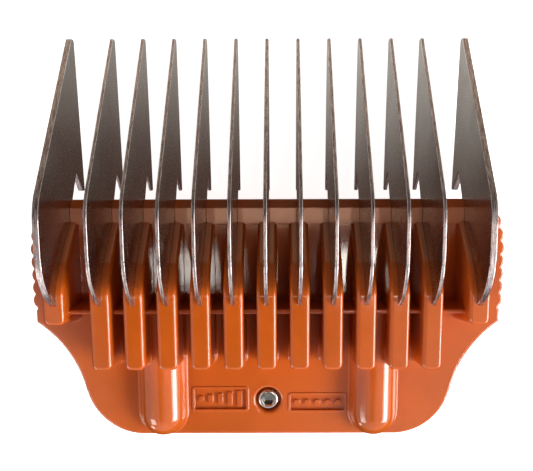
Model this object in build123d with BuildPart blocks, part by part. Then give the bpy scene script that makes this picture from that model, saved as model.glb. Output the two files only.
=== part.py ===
from build123d import *
import os

# Wide clipper guard comb: a moulded body, thirteen steel teeth and a sprung blade latch.
#
# Frame, in millimetres: +X across the comb, +Y towards the tooth tips, +Z towards the skin side.
# The origin is the middle of the footprint, on the plane that the finger tab rests on.

os.makedirs("parts", exist_ok=True)

# ---------------------------------------------------------------- driving dimensions
# Teeth
inner_teeth = 11
tooth_pitch = 5.0
outer_tooth_x = 31.9
inner_gauge = 0.55
outer_gauge = 0.95
tip_y = 32.45
tip_skin_z = 3.2
tip_back_z = 2.1
tip_round = 0.5
bend_y, bend_z = 8.8, 18.85
crown_y, crown_z = 4.2, 20.2
crown_flat_y = 0.0
heel_y, heel_z = -8.5, 15.5
root_y = -9.4
root_top_z = 13.4
root_cover = 0.5
barb_y = 7.85
barb_width = 0.85
notch_y, notch_z = 11.1, 3.75
notch_round = 0.35
barb_round = 0.2
key_hole_r = 0.9
key_holes = [(-1.5, 9.6), (-6.2, 11.2)]
tooth_edge_round = 0.15

# Body plate
seat_z = 6.1
plate_thickness = 1.8
plate_top = seat_z + plate_thickness
front_y = 6.75
front_half_width = 36.15
nose_z = seat_z + 0.9
nose_y = 5.49
half_width = 37.7
tail_y = -32.45
waist_start = (half_width, -13.2)
waist_middle = (33.05, -17.9)
waist_end = (30.1, -24.8)
tail_corner_start = (29.6, -26.3)
tail_corner_middle = (27.0, -30.05)
tail_corner_end = (21.2, tail_y)
plate_edge_round = 0.4
seat_back_y = -15.95
latch_bay_depth = 0.1

# Finger knurls on both side edges
knurl_pitch = 2.1
knurl_first_y = -9.55
knurl_r = 1.5
knurl_root_x = 37.5
knurl_root_end_y = -11.0
knurl_root_round = 0.2
knurl_peaks_x = [38.1] * 5 + [37.9, 37.45, 36.95]

# Ribs, windows and crossbar
rib_width = 3.0
outer_rib_width = 3.15
rib_top_z = 15.55
rib_front_y = 3.2
rib_slope_end_y = -2.6
rib_slope_end_z = 13.3
rib_flat_start_y = -6.4
rib_knee_round = 3.0
rib_end_y = -18.55
outer_rib_end_y = -11.5
rib_end_draft = 1.6
rib_corner_round = 0.9
rib_edge_round = 0.55
rib_buried_z = seat_z + 0.3
window_front_y = 2.85
window_floor_z = seat_z + 1.2
crossbar_front_y = -9.75
crossbar_top_width = 0.65
crossbar_foot_width = 1.1
crossbar_top_z = seat_z + 7.3
foot_round = 0.3

# Spring housings: half capsules on the tail, hollow from the reverse
spring_x = 17.3
housing_r = 3.95
housing_axis_z = seat_z + 1.3
housing_front_y = -10.2
housing_end_gap = 0.1
channel_r = 1.95
channel_axis_z = seat_z + 1.95
channel_front_y = -19.1
channel_end_y = -31.0

# Size panels
panel_depth = 0.3
panel_round = 0.6
panel_frame = 0.4
panel_raise = 0.1
bar_count = 5
bar_pitch = 1.6
bar_width = 0.8
bar_shortest = 1.0
bar_growth = 0.45
dot_count = 5
dot_pitch = 1.7
dot_r = 0.5
left_panel = (-7.95, -26.3, 9.4, 4.3)
right_panel = (8.15, -26.95, 9.8, 3.4)

# Latch: a moulded slider with a riveted steel hook, guided by the screw boss and two rails
travel = 3.0
play = 0.1
slider_half_width = 20.5
slider_front_y = -19.0
slider_back_y = -32.0
slider_thickness = 2.2
slider_top = seat_z - 0.05
slider_bottom = slider_top - slider_thickness
guide_size = 4.4
guide_y = -26.5
guide_play = 0.05
lug_width = 3.0
lug_length = 1.8
lug_front_y = -19.2
lug_top_z = 9.0
tab_half_width = 12.0
tab_front_y = -30.3
tab_grooves = 3
tab_groove_z = 0.9
tab_groove_pitch = 1.0
tab_groove_r = 0.25
rail_inner_x = slider_half_width + 0.15
rail_outer_x = rail_inner_x + 1.7
rail_lip = 1.0
rail_lip_height = 0.5
rail_front_y = -20.6
rail_back_y = -28.6
hook_half_width = 11.0
hook_gauge = 0.8
hook_lip_y = -17.0
hook_tip_y = -16.3
hook_tip_drop = 0.75
hook_back_y = -23.4
hook_notch_half_width = 4.2
hook_notch_y = -19.6
rivet_x = 7.6
rivet_y = -21.4
rivet_r = 0.8
rivet_head_r = 1.4
rivet_head_height = 0.5

# Fasteners and springs
screw_r = 1.0
screw_head_r = 1.65
screw_head_height = 1.5
screw_head_round = 0.35
screw_socket_flats = 1.9
screw_socket_depth = 1.1
screw_socket_mouth = 0.15
screw_tip_z = 1.5
counterbore_r = 2.1
counterbore_lip_round = 0.45
counterbore_floor_z = seat_z + 0.2
washer_r = 3.5
washer_thickness = 0.4
nut_flats = 4.0
nut_height = 1.6
hole_clearance = 0.05
spring_r = 1.52
wire_r = 0.175
spring_turns = 9


# ---------------------------------------------------------------- helpers
def finish(piece, name):
    """Label a finished piece and write it under its node's name."""
    piece.part.label = name
    export_step(piece.part, f"parts/{name}.step")


def make_rib(width, end_y):
    """One rib of the body, centred on X = 0, with rounded edges and a drafted tail end."""
    with BuildPart() as rib:
        with BuildSketch(Plane.YZ):
            with BuildLine():
                Polyline(
                    (rib_front_y, rib_buried_z),
                    (rib_front_y, plate_top - 0.05),
                    (rib_slope_end_y, rib_slope_end_z),
                    (rib_flat_start_y, rib_top_z),
                    (end_y, rib_top_z),
                    (end_y - rib_end_draft, rib_buried_z),
                    (rib_front_y, rib_buried_z),
                )
            make_face()
            knees = vertices().filter_by(lambda v: v.Y > plate_top and v.X > end_y + 0.1)
            fillet(knees, rib_knee_round)
        extrude(amount=width / 2, both=True)
        # The tail end's upright corners first, then the whole rim of the top
        fillet(rib.faces().sort_by(Axis.Y)[0].edges().filter_by(Axis.X, reverse=True), rib_corner_round)
        top = rib.faces().filter_by(lambda f: f.normal_at().Z > 0.5)
        fillet(top.edges().filter_by(lambda e: e.bounding_box().size.X < width - 0.01), rib_edge_round)
    return rib


# ---------------------------------------------------------------- teeth
# Side outline of a tooth and its root: its first axis is the object's Y, its second is Z
with BuildSketch() as tooth_outline:
    with BuildLine():
        skin = Line((tip_y, tip_skin_z), (bend_y, bend_z))
        TangentArc(skin @ 1, (crown_y, crown_z), tangent=skin % 1)
        crown = Line((crown_y, crown_z), (crown_flat_y, crown_z))
        TangentArc(crown @ 1, (heel_y, heel_z), tangent=crown % 1)
        Polyline(
            (heel_y, heel_z),
            (root_y, root_top_z),
            (root_y, seat_z + root_cover),
            (nose_y, seat_z + root_cover),
            (front_y, seat_z),
            (notch_y, notch_z),
            (barb_y, barb_width),
            (barb_y, 0),
            (tip_y, tip_back_z),
            (tip_y, tip_skin_z),
        )
    make_face()
    fillet(vertices().group_by(Axis.X)[-1], tip_round)
    fillet(vertices().filter_by(lambda v: abs(v.X - notch_y) < 0.01), notch_round)
    fillet(vertices().filter_by(lambda v: abs(v.X - barb_y) < 0.01), barb_round)
    # Holes that key the root into the moulding
    with Locations(*key_holes):
        Circle(key_hole_r, mode=Mode.SUBTRACT)

half_count = inner_teeth // 2
inner_xs = [tooth_pitch * step for step in range(-half_count, half_count + 1)]
tooth_places = [(-outer_tooth_x, outer_gauge)]
tooth_places += [(x, inner_gauge) for x in inner_xs]
tooth_places += [(outer_tooth_x, outer_gauge)]

for number, (x, gauge) in enumerate(tooth_places, start=1):
    with BuildPart() as tooth:
        with BuildSketch(Plane.YZ.offset(x)):
            add(tooth_outline.sketch)
        extrude(amount=gauge / 2, both=True)
        sides = tooth.faces().sort_by(Axis.X)
        fillet(sides[0].outer_wire().edges() + sides[-1].outer_wire().edges(), tooth_edge_round)
    finish(tooth, f"tooth_{number:02d}")

# ---------------------------------------------------------------- body
inner_rib = make_rib(rib_width, rib_end_y)
outer_rib = make_rib(outer_rib_width, outer_rib_end_y)

with BuildPart() as housing:
    housing_sphere_y = tail_y + housing_end_gap + housing_r
    with BuildSketch(Plane.XZ.offset(-housing_front_y)):
        with Locations((0, housing_axis_z)):
            Circle(housing_r)
    extrude(amount=housing_front_y - housing_sphere_y)
    with Locations((0, housing_sphere_y, housing_axis_z)):
        Sphere(housing_r)
    split(bisect_by=Plane.XY.offset(rib_buried_z), keep=Keep.TOP)

with BuildPart() as comb_body:
    # Plate outline: straight sides, a waist, and rounded tail corners
    with BuildSketch(Plane.XY.offset(seat_z)):
        with BuildLine():
            Polyline(
                (0, front_y),
                (front_half_width, front_y),
                (knurl_root_x, -1.0),
                (knurl_root_x, knurl_root_end_y),
                (half_width, knurl_root_end_y - 0.25),
                waist_start,
            )
            ThreePointArc(waist_start, waist_middle, waist_end)
            Line(waist_end, tail_corner_start)
            ThreePointArc(tail_corner_start, tail_corner_middle, tail_corner_end)
            Line(tail_corner_end, (0, tail_y))
            mirror(about=Plane.YZ)
        make_face()
        # Knurled finger edges
        for index, peak_x in enumerate(knurl_peaks_x):
            knurl_y = knurl_first_y + knurl_pitch * index
            with Locations((peak_x - knurl_r, knurl_y), (knurl_r - peak_x, knurl_y)):
                Circle(knurl_r)
        # Corners about half way between two knurls are the grooves
        grooves = vertices().filter_by(
            lambda v: abs(v.X) > 36
            and knurl_root_end_y < v.Y < front_y - 0.1
            and 0.25 < (v.Y - knurl_first_y) / knurl_pitch % 1 < 0.75
        )
        fillet(grooves, knurl_root_round)
    extrude(amount=plate_thickness)
    # The reverse steps up behind the blade seat to clear the latch
    with BuildSketch(Plane.XY.offset(seat_z)):
        with Locations((0, (seat_back_y + tail_y) / 2 - 1)):
            Rectangle(2 * half_width + 2, seat_back_y - tail_y + 2)
    extrude(amount=latch_bay_depth, mode=Mode.SUBTRACT)
    rounded = comb_body.faces().sort_by(Axis.Z)[-1].edges().filter_by(lambda e: e.center().Y < front_y - 0.1)
    fillet(rounded, plate_edge_round)
    # Sloped nose along the front edge
    with BuildSketch(Plane.YZ):
        with BuildLine():
            Polyline(
                (front_y, nose_z),
                (nose_y, plate_top),
                (nose_y, plate_top + 1),
                (front_y + 1, plate_top + 1),
                (front_y + 1, nose_z),
                (front_y, nose_z),
            )
        make_face()
    extrude(amount=half_width + 2, both=True, mode=Mode.SUBTRACT)
    # Lowered floor between the ribs
    window_width = 2 * outer_tooth_x - outer_rib_width + 1
    with BuildSketch(Plane.XY.offset(window_floor_z)):
        with Locations((0, (window_front_y + crossbar_front_y) / 2)):
            Rectangle(window_width, window_front_y - crossbar_front_y)
    extrude(amount=plate_thickness, mode=Mode.SUBTRACT)
    # Crossbar that ties the ribs together
    with BuildSketch(Plane.YZ):
        with BuildLine():
            Polyline(
                (crossbar_front_y + 0.25, rib_buried_z),
                (crossbar_front_y, crossbar_top_z),
                (crossbar_front_y - crossbar_top_width, crossbar_top_z),
                (crossbar_front_y - crossbar_foot_width, rib_buried_z),
                (crossbar_front_y + 0.25, rib_buried_z),
            )
        make_face()
        fillet(vertices().group_by(Axis.Y)[-1], 0.25)
    extrude(amount=outer_tooth_x, both=True)
    # Spring housings
    with Locations((-spring_x, 0, 0), (spring_x, 0, 0)):
        add(housing.part)
    # Ribs
    with Locations(*[(x, 0, 0) for x in inner_xs]):
        add(inner_rib.part)
    with Locations((-outer_tooth_x, 0, 0), (outer_tooth_x, 0, 0)):
        add(outer_rib.part)
    # Rounded inner corners where the ribs, the crossbar and the housings meet the plate
    feet = comb_body.edges().filter_by(
        lambda e: e.is_interior
        and abs(e.center().Z - plate_top) < 0.02
        and -31.9 < e.center().Y < crossbar_front_y - crossbar_foot_width + 0.25
        and (abs(e.center().X) < 29 or abs(e.center().X) < 35 and e.center().Y > -12.9)
    )
    fillet(feet, foot_round)
    # Slots that the tooth roots are moulded into
    for x, gauge in tooth_places:
        with BuildSketch(Plane.YZ.offset(x)):
            add(tooth_outline.sketch)
        extrude(amount=gauge / 2, both=True, mode=Mode.SUBTRACT)
    # Spring channels, open on the reverse
    channel_length = channel_front_y - channel_end_y
    for side in (-1, 1):
        with BuildSketch(Plane.XZ.offset(-channel_front_y)):
            with Locations((side * spring_x, channel_axis_z)):
                Circle(channel_r)
            with Locations((side * spring_x, (seat_z + channel_axis_z) / 2 - 0.5)):
                Rectangle(2 * channel_r, channel_axis_z - seat_z + 1)
        extrude(amount=channel_length, mode=Mode.SUBTRACT)
    # Guide boss under the screw
    guide_bottom = slider_bottom - play
    with BuildSketch(Plane.XY.offset(guide_bottom)):
        with Locations((0, guide_y)):
            RectangleRounded(guide_size, guide_size, 0.8)
    extrude(amount=seat_z + 0.2 - guide_bottom)
    # Rails along both sides of the slider
    rail_length = rail_front_y - rail_back_y
    rail_bottom = slider_bottom - play - rail_lip_height
    for side in (-1, 1):
        with BuildSketch(Plane.XZ.offset(-rail_front_y)):
            with BuildLine():
                Polyline(
                    (side * rail_inner_x, seat_z + 0.2),
                    (side * rail_inner_x, slider_bottom - play),
                    (side * (rail_inner_x - rail_lip), slider_bottom - play),
                    (side * (rail_inner_x - rail_lip), rail_bottom),
                    (side * rail_outer_x, rail_bottom),
                    (side * rail_outer_x, seat_z + 0.2),
                    (side * rail_inner_x, seat_z + 0.2),
                )
            make_face()
        extrude(amount=rail_length)
    # Screw hole with its counterbore
    with BuildSketch(Plane.XY.offset(counterbore_floor_z)):
        with Locations((0, guide_y)):
            Circle(counterbore_r)
    extrude(amount=plate_thickness, mode=Mode.SUBTRACT)
    lip = comb_body.edges().filter_by(GeomType.CIRCLE).filter_by(
        lambda e: abs(e.radius - counterbore_r) < 0.01 and e.center().Z > counterbore_floor_z + 0.1
    )
    fillet(lip, counterbore_lip_round)
    with BuildSketch(Plane.XY.offset(guide_bottom)):
        with Locations((0, guide_y)):
            Circle(screw_r + hole_clearance)
    extrude(amount=plate_top - guide_bottom, mode=Mode.SUBTRACT)
    # Size panels: a fine frame round a shallow recess, with plain raised marks instead of writing
    recess_z = plate_top - panel_depth
    for x, y, width, height in (left_panel, right_panel):
        with BuildSketch(Plane.XY.offset(plate_top - 0.1)):
            with Locations((x, y)):
                RectangleRounded(width, height, panel_round)
        extrude(amount=0.1 + panel_raise)
        with BuildSketch(Plane.XY.offset(recess_z)):
            with Locations((x, y)):
                RectangleRounded(width - 2 * panel_frame, height - 2 * panel_frame, panel_round / 2)
        extrude(amount=panel_depth + 1, mode=Mode.SUBTRACT)
    x, y, width, height = left_panel
    for step in range(bar_count):
        bar_height = bar_shortest + bar_growth * step
        with BuildSketch(Plane.XY.offset(recess_z - 0.1)):
            with Locations((x + bar_pitch * (step - (bar_count - 1) / 2), y)):
                RectangleRounded(bar_width, bar_height, bar_width / 2.5)
        extrude(amount=panel_depth + 0.1)
    x, y, width, height = right_panel
    with BuildSketch(Plane.XY.offset(recess_z - 0.1)):
        with Locations((x, y)):
            with GridLocations(dot_pitch, dot_pitch, dot_count, 1):
                Circle(dot_r)
    extrude(amount=panel_depth + 0.1)
finish(comb_body, "comb_body")

# ---------------------------------------------------------------- latch slider and hook
with BuildPart() as latch_slider:
    slider_length = slider_front_y - slider_back_y
    slider_middle_y = (slider_front_y + slider_back_y) / 2
    with BuildSketch(Plane.XY.offset(slider_bottom)):
        with Locations((0, slider_middle_y)):
            RectangleRounded(2 * slider_half_width, slider_length, 1.2)
    extrude(amount=slider_thickness)
    # Finger tab, hollowed a little on its front face for a fingertip
    tab_length = tab_front_y - slider_back_y
    with BuildSketch(Plane.XY):
        with Locations((0, slider_back_y + tab_length / 2)):
            RectangleRounded(2 * tab_half_width, tab_length, 0.6)
    extrude(amount=slider_bottom + 0.2)
    with BuildSketch(Plane.YZ):
        for step in range(tab_grooves):
            with Locations((tab_front_y, tab_groove_z + tab_groove_pitch * step)):
                Circle(tab_groove_r)
            with Locations((slider_back_y, tab_groove_z + tab_groove_pitch * step)):
                Circle(tab_groove_r)
    extrude(amount=tab_half_width, both=True, mode=Mode.SUBTRACT)
    # Lugs that push the springs
    with BuildSketch(Plane.XY.offset(slider_bottom + 1)):
        for side in (-1, 1):
            with Locations((side * spring_x, lug_front_y - lug_length / 2)):
                Rectangle(lug_width, lug_length)
    extrude(amount=lug_top_z - slider_bottom - 1)
    # Slot that rides on the guide boss and stops the slider at both ends
    slot_front_y = guide_y + guide_size / 2 + guide_play + travel
    slot_back_y = guide_y - guide_size / 2 - guide_play
    with BuildSketch(Plane.XY.offset(slider_bottom)):
        with Locations((0, (slot_front_y + slot_back_y) / 2)):
            Rectangle(guide_size + 2 * guide_play, slot_front_y - slot_back_y)
    extrude(amount=slider_thickness, mode=Mode.SUBTRACT)
    # Rivet holes, counterbored for the upper heads
    with Locations((-rivet_x, rivet_y, slider_top), (rivet_x, rivet_y, slider_top)):
        CounterBoreHole(rivet_r + hole_clearance, rivet_head_r + 0.1, rivet_head_height + 0.1)
finish(latch_slider, "latch_slider")

with BuildPart() as latch_hook:
    hook_top = slider_bottom
    hook_bottom = slider_bottom - hook_gauge
    with BuildSketch(Plane.YZ):
        with BuildLine():
            Polyline(
                (hook_back_y, hook_top),
                (hook_lip_y, hook_top),
                (hook_tip_y, hook_top - hook_tip_drop),
                (hook_tip_y - 0.35, hook_top - hook_tip_drop - hook_gauge),
                (hook_lip_y - 0.3, hook_bottom),
                (hook_back_y, hook_bottom),
                (hook_back_y, hook_top),
            )
        make_face()
    extrude(amount=hook_half_width, both=True)
    with BuildSketch(Plane.XY.offset(hook_bottom)):
        with Locations((0, (hook_back_y + hook_notch_y) / 2)):
            Rectangle(2 * hook_notch_half_width, hook_notch_y - hook_back_y)
    extrude(amount=hook_gauge, mode=Mode.SUBTRACT)
    with Locations((-rivet_x, rivet_y, hook_top), (rivet_x, rivet_y, hook_top)):
        Hole(rivet_r + hole_clearance, depth=hook_gauge)
    upright = latch_hook.edges().filter_by(Axis.Z)
    fillet(upright.group_by(Axis.Y)[0], 0.8)
finish(latch_hook, "latch_hook")

with BuildPart() as hook_rivets:
    rivet_bottom = hook_bottom - rivet_head_height
    rivet_top = slider_top - 0.05
    with BuildSketch(Plane.XY.offset(rivet_bottom)):
        with Locations((-rivet_x, rivet_y), (rivet_x, rivet_y)):
            Circle(rivet_r)
    extrude(amount=rivet_top - rivet_bottom)
    for head_z in (rivet_bottom, rivet_top - rivet_head_height):
        with BuildSketch(Plane.XY.offset(head_z)):
            with Locations((-rivet_x, rivet_y), (rivet_x, rivet_y)):
                Circle(rivet_head_r)
        extrude(amount=rivet_head_height)
    fillet(hook_rivets.edges().filter_by(GeomType.CIRCLE).group_by(Axis.Z)[0], 0.35)
finish(hook_rivets, "hook_rivets")

# ---------------------------------------------------------------- springs
spring_front_y = lug_front_y - lug_length - 0.02
spring_length = spring_front_y - (channel_end_y + 0.02) - 2 * wire_r
spring_z = seat_z + 0.2 + spring_r + wire_r
for side, name in ((-1, "spring_left"), (1, "spring_right")):
    start = (side * spring_x, spring_front_y - wire_r, spring_z)
    with BuildPart() as spring:
        with BuildLine():
            pitch = spring_length / spring_turns
            coil = Helix(pitch, spring_length, spring_r, center=start, direction=(0, -1, 0))
        with BuildSketch(Plane(origin=coil @ 0, z_dir=coil % 0)):
            Circle(wire_r)
        sweep()
    finish(spring, name)

# ---------------------------------------------------------------- screw, washer and nut
with BuildPart() as retaining_screw:
    head_bottom = counterbore_floor_z
    with BuildSketch(Plane.XY.offset(screw_tip_z)):
        with Locations((0, guide_y)):
            Circle(screw_r)
    extrude(amount=head_bottom - screw_tip_z)
    with BuildSketch(Plane.XY.offset(head_bottom)):
        with Locations((0, guide_y)):
            Circle(screw_head_r)
    extrude(amount=screw_head_height)
    fillet(retaining_screw.edges().filter_by(GeomType.CIRCLE).group_by(Axis.Z)[-1], screw_head_round)
    with BuildSketch(Plane.XY.offset(head_bottom + screw_head_height - screw_socket_depth)):
        with Locations((0, guide_y)):
            RegularPolygon(screw_socket_flats / 2, 6, major_radius=False)
    extrude(amount=screw_socket_depth, mode=Mode.SUBTRACT)
    chamfer(retaining_screw.faces().sort_by(Axis.Z)[-1].inner_wires().edges(), screw_socket_mouth)
finish(retaining_screw, "retaining_screw")

washer_top = guide_bottom
with BuildPart() as retaining_washer:
    with BuildSketch(Plane.XY.offset(washer_top - washer_thickness)):
        with Locations((0, guide_y)):
            Circle(washer_r)
            Circle(screw_r + 2 * hole_clearance, mode=Mode.SUBTRACT)
    extrude(amount=washer_thickness)
    chamfer(retaining_washer.edges().filter_by(GeomType.CIRCLE).group_by(Axis.Z)[0][0], 0.08)
finish(retaining_washer, "retaining_washer")

with BuildPart() as retaining_nut:
    nut_top = washer_top - washer_thickness
    with BuildSketch(Plane.XY.offset(nut_top - nut_height)):
        with Locations((0, guide_y)):
            RegularPolygon(nut_flats / 2, 6, major_radius=False)
            Circle(screw_r + hole_clearance / 2, mode=Mode.SUBTRACT)
    extrude(amount=nut_height)
finish(retaining_nut, "retaining_nut")
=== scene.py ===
import math

import bmesh
import bpy
from mathutils import Matrix, Vector


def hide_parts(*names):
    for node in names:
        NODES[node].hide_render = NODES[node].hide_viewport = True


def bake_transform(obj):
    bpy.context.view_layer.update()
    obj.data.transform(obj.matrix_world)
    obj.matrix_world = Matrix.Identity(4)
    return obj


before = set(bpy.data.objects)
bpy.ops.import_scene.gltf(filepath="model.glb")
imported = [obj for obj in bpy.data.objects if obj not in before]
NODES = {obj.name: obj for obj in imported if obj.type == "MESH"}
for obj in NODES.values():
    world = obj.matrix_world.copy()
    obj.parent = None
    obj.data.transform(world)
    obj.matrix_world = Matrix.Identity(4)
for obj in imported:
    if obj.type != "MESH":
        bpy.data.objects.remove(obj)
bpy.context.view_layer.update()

# Clipper guard comb. Lengths are in metres and written as so many MM.
MM = 0.001

# The camera stands over the comb, a little towards the tooth tips, and looks down
CAMERA_PLACE = Vector((2.35, 13.34, 101.44)) * MM
CAMERA_TILT = math.radians(7.5)
CAMERA_ROLL = math.radians(-0.15)
CAMERA_LENS = 39.85
CAMERA_SHIFT_X = -0.0291

TOOTH_NAMES = sorted(name for name in NODES if name.startswith("tooth_"))


# ---------------------------------------------------------------- node helpers
def new_material(name):
    """A node material with one Principled shader: (material, node tree, shader)."""
    material = bpy.data.materials.new(name)
    material.use_nodes = True
    tree = material.node_tree
    return material, tree, tree.nodes["Principled BSDF"]


def set_inputs(node, **values):
    """Sets a node's sockets by name, with _ for a space."""
    for name, value in values.items():
        node.inputs[name.replace("_", " ")].default_value = value


def place_coordinates(tree, stretch=(1, 1, 1)):
    """Object coordinates, squeezed along each axis, so that grain keeps its real size."""
    coordinates = tree.nodes.new("ShaderNodeTexCoord")
    mapping = tree.nodes.new("ShaderNodeMapping")
    mapping.inputs["Scale"].default_value = stretch
    tree.links.new(coordinates.outputs["Object"], mapping.inputs["Vector"])
    return mapping.outputs["Vector"]


def noise(tree, vector, size, detail=3.0, roughness=0.55):
    """Noise whose features are about size metres across."""
    node = tree.nodes.new("ShaderNodeTexNoise")
    set_inputs(node, Scale=1 / size, Detail=detail, Roughness=roughness)
    tree.links.new(vector, node.inputs["Vector"])
    return node.outputs["Fac"]


def remap(tree, value, low, high, out_low, out_high):
    """Takes low..high to out_low..out_high, clamped."""
    node = tree.nodes.new("ShaderNodeMapRange")
    node.interpolation_type = "SMOOTHSTEP"
    for socket, number in zip(node.inputs[1:5], (low, high, out_low, out_high)):
        socket.default_value = number
    tree.links.new(value, node.inputs[0])
    return node.outputs[0]


def part_along(tree, vector, axis):
    """How far a vector goes along an axis."""
    node = tree.nodes.new("ShaderNodeVectorMath")
    node.operation = "DOT_PRODUCT"
    tree.links.new(vector, node.inputs[0])
    node.inputs[1].default_value = axis
    return node.outputs["Value"]


def calculate(tree, operation, first, second=None):
    """A math node on sockets or numbers."""
    node = tree.nodes.new("ShaderNodeMath")
    node.operation = operation
    for socket, value in zip(node.inputs, (first, second)):
        if isinstance(value, bpy.types.NodeSocket):
            tree.links.new(value, socket)
        elif value is not None:
            socket.default_value = value
    return node.outputs[0]


def mix_colour(tree, factor, first, second):
    """Mixes two colours, each a colour or a socket."""
    node = tree.nodes.new("ShaderNodeMix")
    node.data_type = "RGBA"
    tree.links.new(factor, node.inputs[0])
    for socket, colour in zip(node.inputs[6:8], (first, second)):
        if isinstance(colour, bpy.types.NodeSocket):
            tree.links.new(colour, socket)
        else:
            socket.default_value = (*colour, 1)
    return node.outputs[2]


def bump(tree, height, distance, normal=None):
    """A bump whose full height is distance metres, on top of another normal."""
    node = tree.nodes.new("ShaderNodeBump")
    set_inputs(node, Distance=distance)
    tree.links.new(height, node.inputs["Height"])
    if normal is not None:
        tree.links.new(normal, node.inputs["Normal"])
    return node.outputs["Normal"]


# ---------------------------------------------------------------- materials
def orange_plastic():
    """Glossy moulded plastic, a little translucent, with faint flow marks."""
    material, tree, shader = new_material("orange_plastic")
    vector = place_coordinates(tree)
    cloud = noise(tree, vector, 9 * MM)
    speck = noise(tree, vector, 0.25 * MM, detail=2.0)
    cloudy = remap(tree, cloud, 0.35, 0.65, 0, 1)
    colour = mix_colour(tree, cloudy, (0.485, 0.090, 0.007), (0.545, 0.102, 0.009))
    set_inputs(
        shader,
        Subsurface_Weight=0.25,
        Subsurface_Scale=0.5 * MM,
        Subsurface_Radius=(1.0, 0.32, 0.10),
        IOR=1.49,
        Specular_IOR_Level=0.82,
    )
    tree.links.new(colour, shader.inputs["Base Color"])
    tree.links.new(remap(tree, speck, 0.3, 0.75, 0.06, 0.11), shader.inputs["Roughness"])
    flow = noise(tree, vector, 4.5 * MM, detail=1.0)
    peel = noise(tree, vector, 0.6 * MM, detail=1.0)
    soft_edge = tree.nodes.new("ShaderNodeBevel")
    soft_edge.samples = 4
    set_inputs(soft_edge, Radius=0.2 * MM)
    ripple = bump(tree, flow, 0.007 * MM, soft_edge.outputs["Normal"])
    ripple = bump(tree, peel, 0.0012 * MM, ripple)
    fine = bump(tree, speck, 0.0004 * MM, ripple)
    tree.links.new(fine, shader.inputs["Normal"])
    return material


def tooth_steel():
    """Stamped stainless sheet: grained, pitted faces, and brighter edges ground along their length."""
    material, tree, shader = new_material("tooth_steel")
    facing = tree.nodes.new("ShaderNodeTexCoord").outputs["Normal"]
    edge = remap(tree, calculate(tree, "ABSOLUTE", part_along(tree, facing, (1, 0, 0))), 0.6, 0.95, 1, 0)
    grain = noise(tree, place_coordinates(tree, (1, 0.12, 1)), 0.12 * MM, detail=4.0)
    pit = noise(tree, place_coordinates(tree), 0.3 * MM, detail=4.0, roughness=0.7)
    streak = noise(tree, place_coordinates(tree, (1, 0.07, 0.07)), 0.12 * MM, detail=2.0)
    cloud = noise(tree, place_coordinates(tree), 6 * MM)
    face = mix_colour(tree, remap(tree, cloud, 0.35, 0.65, 0, 1), (0.46, 0.44, 0.42), (0.54, 0.52, 0.50))
    face = mix_colour(tree, remap(tree, pit, 0.55, 0.75, 0, 0.25), face, (0.36, 0.34, 0.33))
    grit = noise(tree, place_coordinates(tree), 0.22 * MM, detail=3.0, roughness=0.65)
    sheared = mix_colour(tree, remap(tree, streak, 0.35, 0.65, 0, 1), (0.36, 0.30, 0.30), (0.70, 0.63, 0.64))
    sheared = mix_colour(tree, remap(tree, grit, 0.50, 0.62, 0, 0.6), sheared, (0.24, 0.18, 0.15))
    tree.links.new(mix_colour(tree, edge, face, sheared), shader.inputs["Base Color"])
    set_inputs(shader, Metallic=1.0)
    rough_face = remap(tree, pit, 0.3, 0.7, 0.20, 0.28)
    rough = tree.nodes.new("ShaderNodeMix")
    tree.links.new(edge, rough.inputs[0])
    tree.links.new(rough_face, rough.inputs[2])
    tree.links.new(remap(tree, streak, 0.35, 0.65, 0.26, 0.40), rough.inputs[3])
    tree.links.new(rough.outputs[0], shader.inputs["Roughness"])
    normal = bump(tree, grain, 0.0008 * MM)
    normal = bump(tree, pit, 0.0003 * MM, normal)
    normal = bump(tree, calculate(tree, "MULTIPLY", streak, edge), 0.003 * MM, normal)
    tree.links.new(normal, shader.inputs["Normal"])
    return material


def plain_steel(name, colour, rough, grain_stretch=(1, 1, 1)):
    """Plated or drawn steel with fine wear."""
    material, tree, shader = new_material(name)
    vector = place_coordinates(tree, grain_stretch)
    grain = noise(tree, vector, 0.1 * MM, detail=4.0)
    cloud = noise(tree, place_coordinates(tree), 1.5 * MM)
    dull = tuple(0.75 * c for c in colour)
    worn = mix_colour(tree, remap(tree, cloud, 0.4, 0.7, 0, 1), colour, dull)
    tree.links.new(worn, shader.inputs["Base Color"])
    set_inputs(shader, Metallic=1.0)
    tree.links.new(remap(tree, grain, 0.3, 0.7, rough - 0.06, rough + 0.08), shader.inputs["Roughness"])
    tree.links.new(bump(tree, grain, 0.0015 * MM), shader.inputs["Normal"])
    return material


def charcoal_plastic():
    """Satin acetal with a fine spark-eroded texture."""
    material, tree, shader = new_material("charcoal_plastic")
    vector = place_coordinates(tree)
    texture = noise(tree, vector, 0.18 * MM, detail=3.0)
    cloud = noise(tree, vector, 5 * MM)
    cloudy = remap(tree, cloud, 0.35, 0.65, 0, 1)
    colour = mix_colour(tree, cloudy, (0.020, 0.020, 0.022), (0.034, 0.034, 0.037))
    tree.links.new(colour, shader.inputs["Base Color"])
    tree.links.new(remap(tree, texture, 0.3, 0.7, 0.38, 0.52), shader.inputs["Roughness"])
    tree.links.new(bump(tree, texture, 0.012 * MM), shader.inputs["Normal"])
    return material


def floor_paper():
    """Pale studio paper, the same all over."""
    material, tree, shader = new_material("floor_paper")
    tooth = noise(tree, place_coordinates(tree), 0.6 * MM)
    colour = mix_colour(tree, tooth, (0.90, 0.90, 0.90), (0.94, 0.94, 0.94))
    tree.links.new(colour, shader.inputs["Base Color"])
    set_inputs(
        shader,
        Roughness=0.9,
        Specular_IOR_Level=0.2,
        Emission_Color=(1, 1, 1, 1),
        Emission_Strength=0.9,
    )
    return material


def new_object(name, mesh):
    """An object made from a bmesh."""
    data = bpy.data.meshes.new(name)
    mesh.to_mesh(data)
    mesh.free()
    obj = bpy.data.objects.new(name, data)
    bpy.context.scene.collection.objects.link(obj)
    return obj


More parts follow.
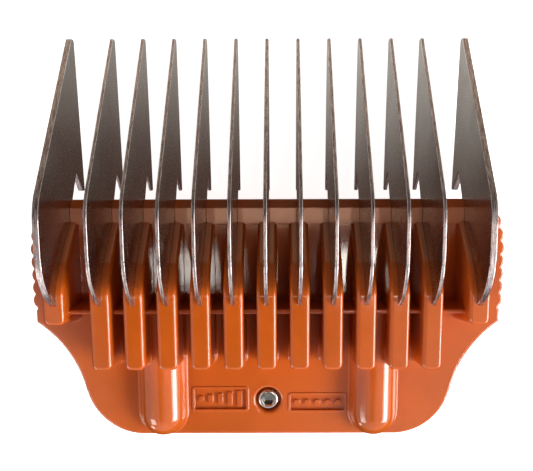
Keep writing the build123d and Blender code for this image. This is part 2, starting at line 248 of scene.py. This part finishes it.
PLASTIC = orange_plastic()
STEEL = tooth_steel()
BRIGHT = plain_steel("fastener_steel", (0.72, 0.70, 0.67), 0.16)
SPRING = plain_steel("spring_steel", (0.60, 0.60, 0.62), 0.22, (1, 0.2, 1))
HOOK = plain_steel("hook_steel", (0.64, 0.64, 0.64), 0.24, (1, 0.1, 1))
CHARCOAL = charcoal_plastic()


def paint(obj, material, angle=28):
    """Gives an object one material and smooth shading between faces that meet at less than angle."""
    obj.data.materials.clear()
    obj.data.materials.append(material)
    obj.data.shade_smooth()
    obj.data.set_sharp_from_angle(angle=math.radians(angle))
    return obj


# ---------------------------------------------------------------- CAD nodes
paint(NODES["comb_body"], PLASTIC)
for name in TOOTH_NAMES:
    paint(NODES[name], STEEL)
paint(NODES["latch_slider"], CHARCOAL)
paint(NODES["latch_hook"], HOOK)
for name in ("hook_rivets", "retaining_screw", "retaining_washer", "retaining_nut"):
    paint(NODES[name], BRIGHT)


# ---------------------------------------------------------------- springs
SPRING_X = 17.3 * MM
SPRING_Z = 7.995 * MM
SPRING_FRONT_Y = -21.195 * MM
SPRING_BACK_Y = -30.8 * MM
COIL_RADIUS = 1.52 * MM
WIRE_RADIUS = 0.175 * MM
COIL_TURNS = 9
CLOSED_TURNS = 0.9
STEPS_PER_TURN = 36
WIRE_SIDES = 12


def coil_advance(turn):
    """How far along the spring, from 0 to 1, the wire is after so many turns. The end turns are closed up."""
    length = SPRING_FRONT_Y - SPRING_BACK_Y
    closed = 2.1 * WIRE_RADIUS * CLOSED_TURNS / length
    open_turns = COIL_TURNS - 2 * CLOSED_TURNS
    if turn < CLOSED_TURNS:
        return closed * turn / CLOSED_TURNS
    if turn > COIL_TURNS - CLOSED_TURNS:
        return 1 - closed * (COIL_TURNS - turn) / CLOSED_TURNS
    return closed + (1 - 2 * closed) * (turn - CLOSED_TURNS) / open_turns


def make_spring(name, x, node):
    """A compression spring with closed ends, in place of a CAD spring."""
    places = []
    for step in range(COIL_TURNS * STEPS_PER_TURN + 1):
        turn = step / STEPS_PER_TURN
        angle = 2 * math.pi * turn
        y = SPRING_FRONT_Y + (SPRING_BACK_Y - SPRING_FRONT_Y) * coil_advance(turn)
        outward = Vector((math.cos(angle), 0, math.sin(angle)))
        places.append((Vector((x, y, SPRING_Z)) + COIL_RADIUS * outward, outward))
    mesh = bmesh.new()
    rings = []
    for index, (centre, outward) in enumerate(places):
        before = places[max(index - 1, 0)][0]
        after = places[min(index + 1, len(places) - 1)][0]
        side = (after - before).normalized().cross(outward).normalized()
        angles = [2 * math.pi * corner / WIRE_SIDES for corner in range(WIRE_SIDES)]
        spokes = [math.cos(angle) * outward + math.sin(angle) * side for angle in angles]
        rings.append([mesh.verts.new(centre + WIRE_RADIUS * spoke) for spoke in spokes])
    for first, second in zip(rings, rings[1:]):
        for corner in range(WIRE_SIDES):
            following = (corner + 1) % WIRE_SIDES
            mesh.faces.new((first[corner], first[following], second[following], second[corner]))
    mesh.faces.new(rings[0])
    mesh.faces.new(reversed(rings[-1]))
    bmesh.ops.recalc_face_normals(mesh, faces=mesh.faces)
    spring = paint(new_object(name, mesh), SPRING, 50)
    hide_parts(node)
    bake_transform(spring)


make_spring("return_spring_left", -SPRING_X, "spring_left")
make_spring("return_spring_right", SPRING_X, "spring_right")


# ---------------------------------------------------------------- floor, lights and camera
# The floor's profile: (radius, height) in metres, from the flat middle to the top of the wall
FLOOR_RINGS = [(1.0, 0.0), (2.0, 0.0), (2.5, 0.1), (2.85, 0.4), (3.0, 0.9), (3.0, 3.0)]
FLOOR_STEPS = 48
FLOOR_DROP = 0.02 * MM
SOFTBOX_DISTANCE = 0.6


def make_floor():
    """A pale floor that curves up into a far wall all round."""
    mesh = bmesh.new()
    centre = mesh.verts.new((0, 0, -FLOOR_DROP))
    angles = [2 * math.pi * step / FLOOR_STEPS for step in range(FLOOR_STEPS)]
    loops = []
    for radius, height in FLOOR_RINGS:
        places = [(radius * math.cos(a), radius * math.sin(a), height - FLOOR_DROP) for a in angles]
        loops.append([mesh.verts.new(place) for place in places])
    for step in range(FLOOR_STEPS):
        after = (step + 1) % FLOOR_STEPS
        mesh.faces.new((centre, loops[0][step], loops[0][after]))
        for inner, outer in zip(loops, loops[1:]):
            mesh.faces.new((inner[step], outer[step], outer[after], inner[after]))
    floor = new_object("floor", mesh)
    floor.data.shade_smooth()
    floor.data.materials.append(floor_paper())
    floor.visible_glossy = False
    floor.visible_diffuse = False


def make_softbox(name, toward, spread, radiance, colour=(1, 1, 1)):
    """A softbox seen from the comb in the direction toward, spread = (across, along) degrees wide.

    Its long side lies in the plane of the direction and +Y. A white surface has a radiance of 1.
    """
    back = Vector(toward).normalized()
    data = bpy.data.lights.new(name, "AREA")
    data.shape = "RECTANGLE"
    data.size, data.size_y = (2 * SOFTBOX_DISTANCE * math.tan(math.radians(angle / 2)) for angle in spread)
    data.energy = radiance * math.pi * data.size * data.size_y
    data.color = colour
    light = bpy.data.objects.new(name, data)
    bpy.context.scene.collection.objects.link(light)
    across = Vector((0, 1, 0)).cross(back).normalized()
    along = back.cross(across)
    turn = Matrix((across, along, back)).transposed().to_4x4()
    light.matrix_world = Matrix.Translation(back * SOFTBOX_DISTANCE) @ turn


def make_world():
    """The room seen from the comb: above, a dark ceiling, a bright horizon and soft glows to both sides.

    Below is the table that the steel mirrors, dark near the comb and bright beyond the tooth tips.
    """
    world = bpy.data.worlds.new("studio")
    world.use_nodes = True
    tree = world.node_tree
    direction = tree.nodes.new("ShaderNodeTexCoord").outputs["Generated"]
    height = part_along(tree, direction, (0, 0, 1))
    front = part_along(tree, direction, (-0.15, 1, 0))
    ahead = remap(tree, part_along(tree, direction, (0, 1, 0)), 0.3, 0.7, 0, 1)
    left = remap(tree, part_along(tree, direction, (-0.93, -0.36, 0)), 0.33, 0.45, 0, 1)
    right = remap(tree, part_along(tree, direction, (1, 0, 0)), 0.4, 0.8, 0, 1)
    glow = remap(tree, part_along(tree, direction, (0.75, -0.66, 0)), 0.18, 0.46, 0, 1)
    back = remap(tree, part_along(tree, direction, (0, -1, 0)), 0.28, 0.42, 0, 1)
    upper = mix_colour(tree, back, (0.02, 0.02, 0.02), (0.18, 0.18, 0.18))
    upper = mix_colour(tree, left, upper, (0.75, 0.71, 0.69))
    upper = mix_colour(tree, glow, upper, (0.75, 0.73, 0.71))
    horizon = mix_colour(tree, right, (0.72, 0.70, 0.69), (1.20, 1.16, 1.12))
    upper = mix_colour(tree, remap(tree, height, 0.3, 0.6, 1, 0), upper, horizon)
    upper = mix_colour(tree, ahead, upper, (0.16, 0.13, 0.10))
    outward = remap(tree, front, -0.07, 0.28, 0, 1)
    table = mix_colour(tree, outward, (0.10, 0.058, 0.046), (0.68, 0.65, 0.60))
    table = mix_colour(tree, remap(tree, front, 0.22, 0.42, 0, 1), table, (1.30, 1.28, 1.20))
    colour = mix_colour(tree, remap(tree, height, -0.03, 0.03, 0, 1), table, upper)
    tree.links.new(colour, tree.nodes["Background"].inputs["Color"])
    bpy.context.scene.world = world


def make_camera():
    """The camera over the comb."""
    data = bpy.data.cameras.new("camera")
    data.sensor_width = 36
    data.lens = CAMERA_LENS
    data.shift_x = CAMERA_SHIFT_X
    data.clip_start = 5 * MM
    data.clip_end = 20
    camera = bpy.data.objects.new("camera", data)
    bpy.context.scene.collection.objects.link(camera)
    right = Vector((1, 0, 0))
    up = Vector((0, math.cos(CAMERA_TILT), -math.sin(CAMERA_TILT)))
    back = right.cross(up)
    rolled = right * math.cos(CAMERA_ROLL) + up * math.sin(CAMERA_ROLL)
    over = back.cross(rolled)
    turn = Matrix((rolled, over, back)).transposed().to_4x4()
    camera.matrix_world = Matrix.Translation(CAMERA_PLACE) @ turn
    bpy.context.scene.camera = camera


make_floor()
make_world()
make_softbox("softbox_right", (0.81, -0.34, 0.48), (15, 36), 17.0, (1.0, 1.0, 1.0))
make_softbox("softbox_right_halo", (0.81, -0.34, 0.48), (27, 44), 4.5, (1.0, 0.99, 0.97))
make_softbox("softbox_left_back", (-0.62, -0.60, 0.50), (20, 20), 6.0, (1.0, 0.97, 0.92))
make_softbox("softbox_tips", (0.0, 0.97, 0.20), (70, 14), 0.60, (1.0, 0.72, 0.48))
make_softbox("softbox_strip", (0.02, -0.0840, 1.0), (38, 2.4), 4.4, (1.0, 0.60, 0.40))
make_softbox("softbox_window", (0.1640, -0.1935, 1.0), (7.4, 3.7), 18.0, (1.0, 0.94, 0.85))
make_softbox("softbox_low_left", (-0.55, -0.83, 0.06), (10, 10), 6.0)
make_camera()
bpy.context.scene.view_settings.view_transform = "Standard"
